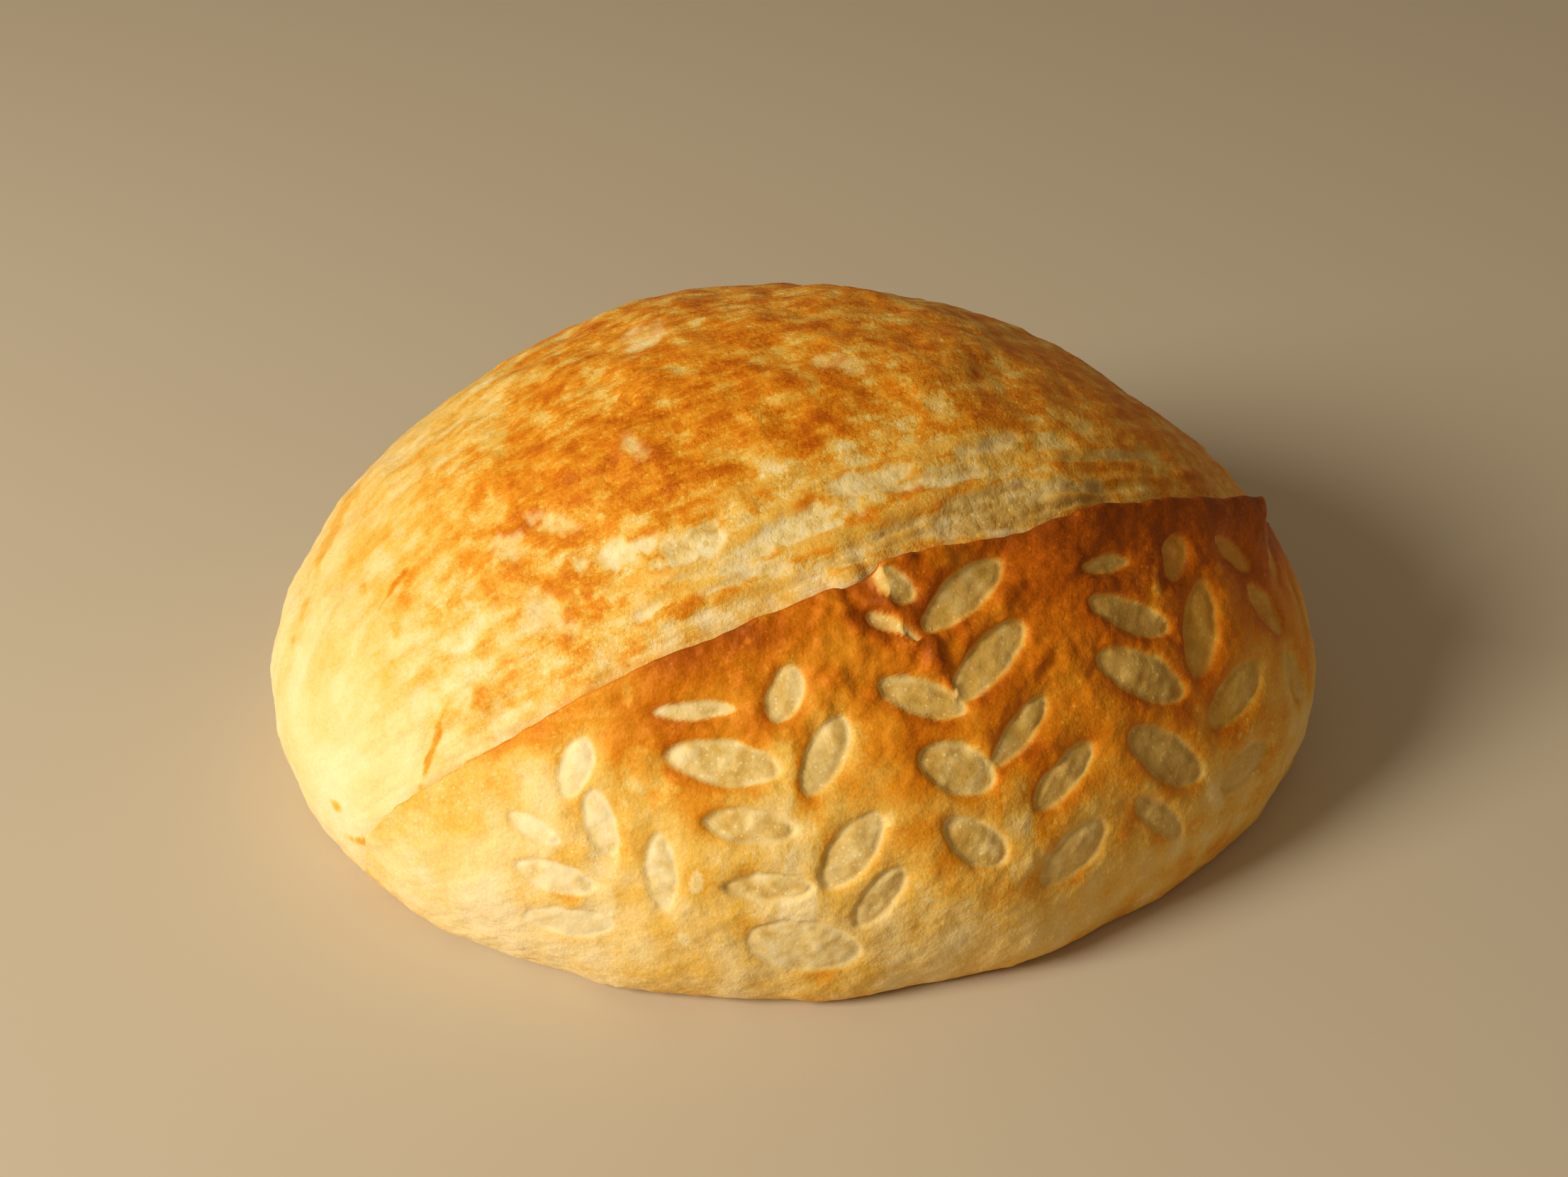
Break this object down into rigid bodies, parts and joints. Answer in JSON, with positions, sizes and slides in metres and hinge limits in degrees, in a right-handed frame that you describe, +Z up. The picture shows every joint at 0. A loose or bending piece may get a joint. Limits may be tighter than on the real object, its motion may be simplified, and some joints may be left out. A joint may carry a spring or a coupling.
{
  "type": "white artisan loaf",
  "caption": "Round hand-shaped loaf of white bread with a long curved score whose lip has lifted into an ear, and leaf-shaped cuts in sprigs over the front crust.",
  "frame": {"origin": "centre of the loaf's flat base, on the surface it rests on", "axes": "+X along the loaf's longer way, -Y towards the side with the leaf cuts, +Z up"},
  "size_m": [0.22, 0.1875, 0.0931],
  "materials": {
    "crust": null
  },
  "bodies": {
    "root": {"loaf": "crust"}
  },
  "joints": []
}
